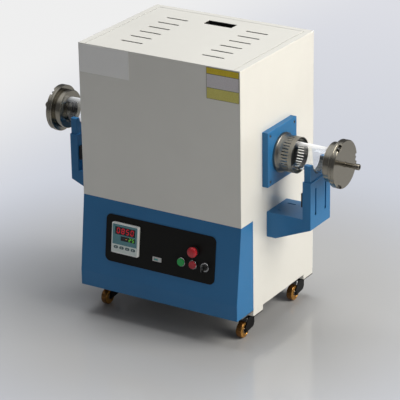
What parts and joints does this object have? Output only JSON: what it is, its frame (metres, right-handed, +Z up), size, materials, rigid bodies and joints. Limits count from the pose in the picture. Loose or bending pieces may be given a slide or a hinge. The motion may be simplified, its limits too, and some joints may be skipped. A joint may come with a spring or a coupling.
{
  "type": "tube furnace",
  "caption": "Floor-standing laboratory tube furnace: white sheet cabinet on casters, quartz work tube through perforated collars, sealed end flanges on brackets, slanted control panel.",
  "frame": {"origin": "on the floor, straight below the middle of the tube's axis, at the bottom centre of the bounding box", "axes": "+X along the tube to the viewer's right as one faces the control panel, +Y from the front to the back, +Z up"},
  "size_m": [1.116, 0.5082, 0.872],
  "materials": {
    "frame_steel": "satin",
    "white_paint": "satin powder coat",
    "blue_paint": "satin powder coat",
    "plate_blue": "satin powder coat",
    "panel_black": "satin black",
    "controller_plastic": "fine grain",
    "controller_film": "matt film",
    "display_window": "gloss",
    "key_rubber": "matt",
    "port_metal": "satin",
    "black_plastic": "fine grain",
    "red_plastic": "gloss",
    "red_cap_plastic": "gloss",
    "green_plastic": "gloss",
    "chrome_ring": "polished",
    "key_steel": "satin",
    "screw_steel": "satin",
    "duct_black": "matt black",
    "clamp_black": "satin black",
    "collar_steel": "fine brushed",
    "flange_steel": "turned",
    "pipe_steel": "turned",
    "heater_metal": "oxidised",
    "fibre_board": "matt fibre board",
    "quartz": "clear",
    "seal_rubber": "matt",
    "lining_rubber": "matt",
    "caster_black": "satin",
    "caster_wheel": "satin"
  },
  "bodies": {
    "cabinet": {"chassis": "frame_steel", "front_panel": "white_paint", "rear_panel": "white_paint", "top_panel": "white_paint", "exhaust_duct": "duct_black", "base_cover": "blue_paint", "foot_blocks": "white_paint", "rear_gland": "black_plastic", "control_panel": "panel_black", "controller_body": "controller_plastic", "controller_face": "controller_film", "controller_display": "display_window", "data_port": "port_metal", "estop_base": "black_plastic", "button_bezels": "chrome_ring", "key_switch_body": "chrome_ring", "side_plate_screws": "screw_steel", "chamber": "fibre_board", "heater_set": "heater_metal", "quartz_tube": "quartz", "o_rings": "seal_rubber", "caster_plates": "caster_black", "side_panel_left": "white_paint", "side_panel_right": "white_paint", "side_plate_left": "plate_blue", "side_plate_right": "plate_blue", "collar_left": "collar_steel", "collar_right": "collar_steel", "flange_left": "flange_steel", "flange_right": "flange_steel", "bracket_left": "blue_paint", "bracket_right": "blue_paint"},
    "estop_button": {"estop_button": "red_plastic"},
    "green_button": {"green_button": "green_plastic"},
    "red_button": {"red_button": "red_cap_plastic"},
    "key_barrel": {"key_switch_barrel": "key_steel"},
    "controller_key_1": {"controller_key_1": "key_rubber"},
    "controller_key_2": {"controller_key_2": "key_rubber"},
    "controller_key_3": {"controller_key_3": "key_rubber"},
    "controller_key_4": {"controller_key_4": "key_rubber"},
    "cradle_left": {"cradle_left": "blue_paint", "notch_lining_left": "lining_rubber", "clamp_set_left": "clamp_black"},
    "end_cap_left": {"end_cap_left": "flange_steel", "cap_screws_left": "screw_steel", "gas_pipe_left": "pipe_steel"},
    "cradle_right": {"cradle_right": "blue_paint", "notch_lining_right": "lining_rubber", "clamp_set_right": "clamp_black"},
    "end_cap_right": {"end_cap_right": "flange_steel", "cap_screws_right": "screw_steel", "gas_pipe_right": "pipe_steel"},
    "fork_left_front": {"caster_fork_left_front": "caster_black"},
    "wheel_left_front": {"caster_wheel_left_front": "caster_wheel"},
    "fork_left_rear": {"caster_fork_left_rear": "caster_black"},
    "wheel_left_rear": {"caster_wheel_left_rear": "caster_wheel"},
    "fork_right_front": {"caster_fork_right_front": "caster_black"},
    "wheel_right_front": {"caster_wheel_right_front": "caster_wheel"},
    "fork_right_rear": {"caster_fork_right_rear": "caster_black"},
    "wheel_right_rear": {"caster_wheel_right_rear": "caster_wheel"}
  },
  "joints": [
    {"name": "estop_press", "type": "slide", "parent": "cabinet", "child": "estop_button", "axis": [0, 0.9928, -0.1195], "range_m": [0, 0.005]},
    {"name": "green_press", "type": "slide", "parent": "cabinet", "child": "green_button", "axis": [0, 0.9928, -0.1195], "range_m": [0, 0.003], "stiffness_N_per_m": 400, "springref_m": -0.002},
    {"name": "red_press", "type": "slide", "parent": "cabinet", "child": "red_button", "axis": [0, 0.9928, -0.1195], "range_m": [0, 0.003], "stiffness_N_per_m": 400, "springref_m": -0.002},
    {"name": "key_1_press", "type": "slide", "parent": "cabinet", "child": "controller_key_1", "axis": [0, 0.9928, -0.1195], "range_m": [0, 0.0008], "stiffness_N_per_m": 400, "springref_m": -0.001},
    {"name": "key_2_press", "type": "slide", "parent": "cabinet", "child": "controller_key_2", "axis": [0, 0.9928, -0.1195], "range_m": [0, 0.0008], "stiffness_N_per_m": 400, "springref_m": -0.001},
    {"name": "key_3_press", "type": "slide", "parent": "cabinet", "child": "controller_key_3", "axis": [0, 0.9928, -0.1195], "range_m": [0, 0.0008], "stiffness_N_per_m": 400, "springref_m": -0.001},
    {"name": "key_4_press", "type": "slide", "parent": "cabinet", "child": "controller_key_4", "axis": [0, 0.9928, -0.1195], "range_m": [0, 0.0008], "stiffness_N_per_m": 400, "springref_m": -0.001},
    {"name": "key_turn", "type": "hinge", "parent": "cabinet", "child": "key_barrel", "pos_m": [0.165, -0.22697, 0.24402], "axis": [0, 0.9928, -0.1195], "range_deg": [0, 90]},
    {"name": "cradle_left_height", "type": "slide", "parent": "cabinet", "child": "cradle_left", "axis": [0, 0, 1], "range_m": [-0.03, 0]},
    {"name": "end_cap_left_off", "type": "slide", "parent": "cabinet", "child": "end_cap_left", "axis": [-1, 0, 0], "range_m": [0, 0.12]},
    {"name": "cradle_right_height", "type": "slide", "parent": "cabinet", "child": "cradle_right", "axis": [0, 0, 1], "range_m": [-0.03, 0]},
    {"name": "end_cap_right_off", "type": "slide", "parent": "cabinet", "child": "end_cap_right", "axis": [1, 0, 0], "range_m": [0, 0.12]},
    {"name": "swivel_left_front", "type": "hinge", "parent": "cabinet", "child": "fork_left_front", "pos_m": [-0.245, -0.1135, 0.07], "axis": [0, 0, 1], "continuous": true},
    {"name": "roll_left_front", "type": "hinge", "parent": "fork_left_front", "child": "wheel_left_front", "pos_m": [-0.245, -0.1505, 0.0254], "axis": [1, 0, 0], "continuous": true},
    {"name": "swivel_left_rear", "type": "hinge", "parent": "cabinet", "child": "fork_left_rear", "pos_m": [-0.245, 0.197, 0.07], "axis": [0, 0, 1], "continuous": true},
    {"name": "roll_left_rear", "type": "hinge", "parent": "fork_left_rear", "child": "wheel_left_rear", "pos_m": [-0.245, 0.16, 0.0254], "axis": [1, 0, 0], "continuous": true},
    {"name": "swivel_right_front", "type": "hinge", "parent": "cabinet", "child": "fork_right_front", "pos_m": [0.245, -0.1135, 0.07], "axis": [0, 0, 1], "continuous": true},
    {"name": "roll_right_front", "type": "hinge", "parent": "fork_right_front", "child": "wheel_right_front", "pos_m": [0.245, -0.1505, 0.0254], "axis": [1, 0, 0], "continuous": true},
    {"name": "swivel_right_rear", "type": "hinge", "parent": "cabinet", "child": "fork_right_rear", "pos_m": [0.245, 0.197, 0.07], "axis": [0, 0, 1], "continuous": true},
    {"name": "roll_right_rear", "type": "hinge", "parent": "fork_right_rear", "child": "wheel_right_rear", "pos_m": [0.245, 0.16, 0.0254], "axis": [1, 0, 0], "continuous": true}
  ]
}
